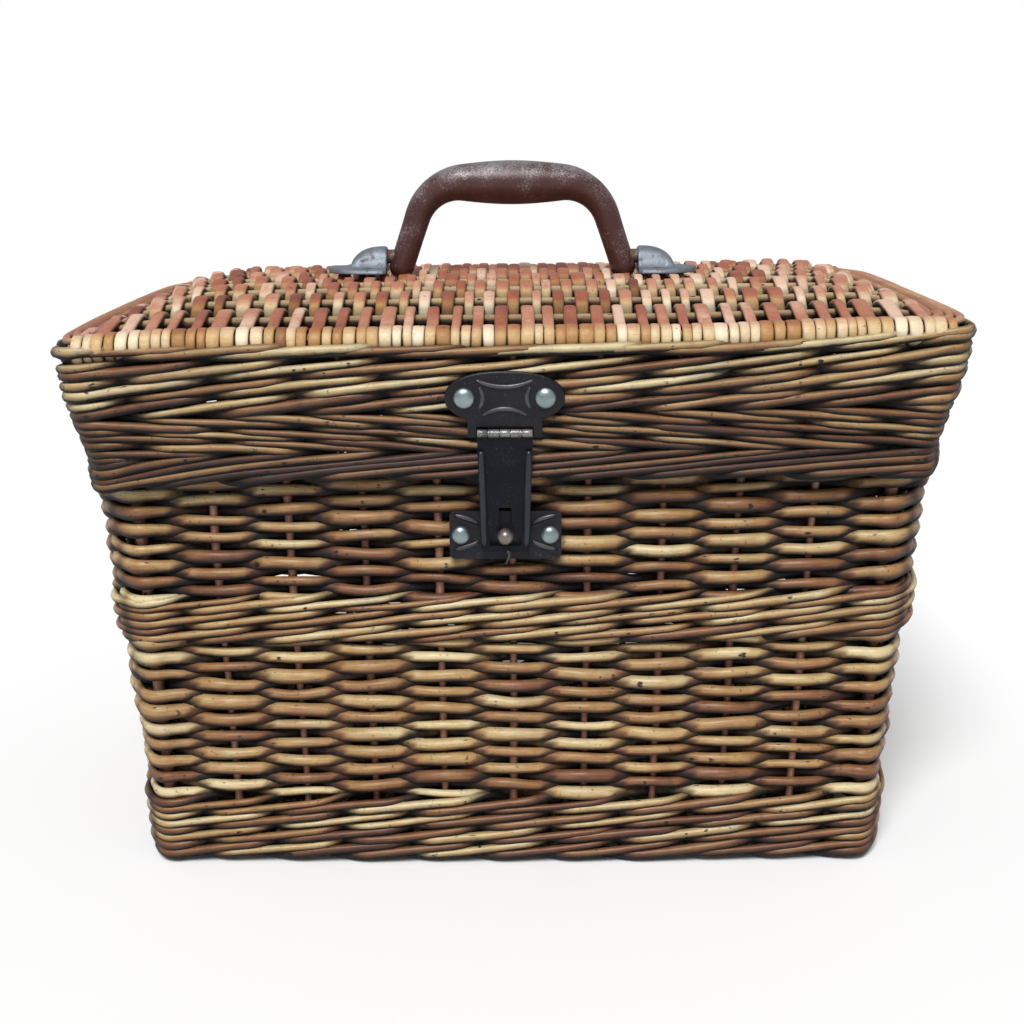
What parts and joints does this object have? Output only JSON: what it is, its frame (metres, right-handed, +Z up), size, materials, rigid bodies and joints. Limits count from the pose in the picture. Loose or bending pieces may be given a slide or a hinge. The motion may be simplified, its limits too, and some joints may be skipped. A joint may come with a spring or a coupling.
{
  "type": "wicker picnic hamper",
  "caption": "Woven willow picnic hamper with a domed hinged lid, a swinging steel carrying handle and a snap hasp on the front.",
  "frame": {"origin": "on the ground, below the middle of the basket's body", "axes": "+X to the right of the front, +Y to the back where the hinges are, +Z up"},
  "size_m": [0.4704, 0.3054, 0.3872],
  "materials": {
    "willow_wall": "semi-gloss buff willow",
    "willow_crown": "semi-gloss reddish willow",
    "willow_floor": "dull buff willow",
    "willow_stick": "dull brown willow",
    "handle_enamel": "worn dark brown enamel",
    "black_japan": "worn black-brown japanning",
    "grey_steel": "dull grey steel with rust",
    "rusty_rivet": "dull rusty steel",
    "bright_steel": "satin steel"
  },
  "bodies": {
    "basket": {"back_stakes": "willow_stick", "body_border": "willow_wall", "bottom_wale": "willow_wall", "catch_plate": "black_japan", "catch_rivets": "bright_steel", "catch_stud": "bright_steel", "corner_posts": "willow_stick", "floor_sticks": "willow_stick", "floor_weave": "willow_floor", "front_stakes": "willow_stick", "hinge_body_rivets": "bright_steel", "hinge_lower_leaves": "grey_steel", "hinge_pins": "bright_steel", "left_stakes": "willow_stick", "lower_weave": "willow_wall", "middle_wale": "willow_wall", "right_stakes": "willow_stick", "upper_weave": "willow_wall"},
    "lid": {"lid_border": "willow_wall", "lid_lower_wale": "willow_wall", "lid_upper_wale": "willow_wall", "lid_stakes": "willow_stick", "lid_crown": "willow_crown", "crown_sticks": "willow_stick", "lid_edge_sticks": "willow_stick", "handle_brackets": "grey_steel", "bracket_rivets": "rusty_rivet", "hasp_plate": "black_japan", "hasp_rivets": "bright_steel", "hasp_hinge_wire": "bright_steel", "hinge_upper_leaves": "grey_steel", "hinge_lid_rivets": "bright_steel"},
    "handle": {"handle_bar": "handle_enamel", "pivot_pins": "bright_steel"},
    "hasp": {"hasp_strap": "black_japan"}
  },
  "joints": [
    {"name": "lid_hinge", "type": "hinge", "parent": "basket", "child": "lid", "pos_m": [0, 0.14584, 0.22793], "axis": [-1, 0, 0], "range_deg": [0, 105]},
    {"name": "handle_swing", "type": "hinge", "parent": "lid", "child": "handle", "pos_m": [0, 0, 0.33149], "axis": [1, 0, 0], "range_deg": [-76, 76]},
    {"name": "hasp_swing", "type": "hinge", "parent": "lid", "child": "hasp", "pos_m": [-0.0042, -0.14923, 0.25422], "axis": [-1, 0, 0], "range_deg": [0, 150]}
  ]
}
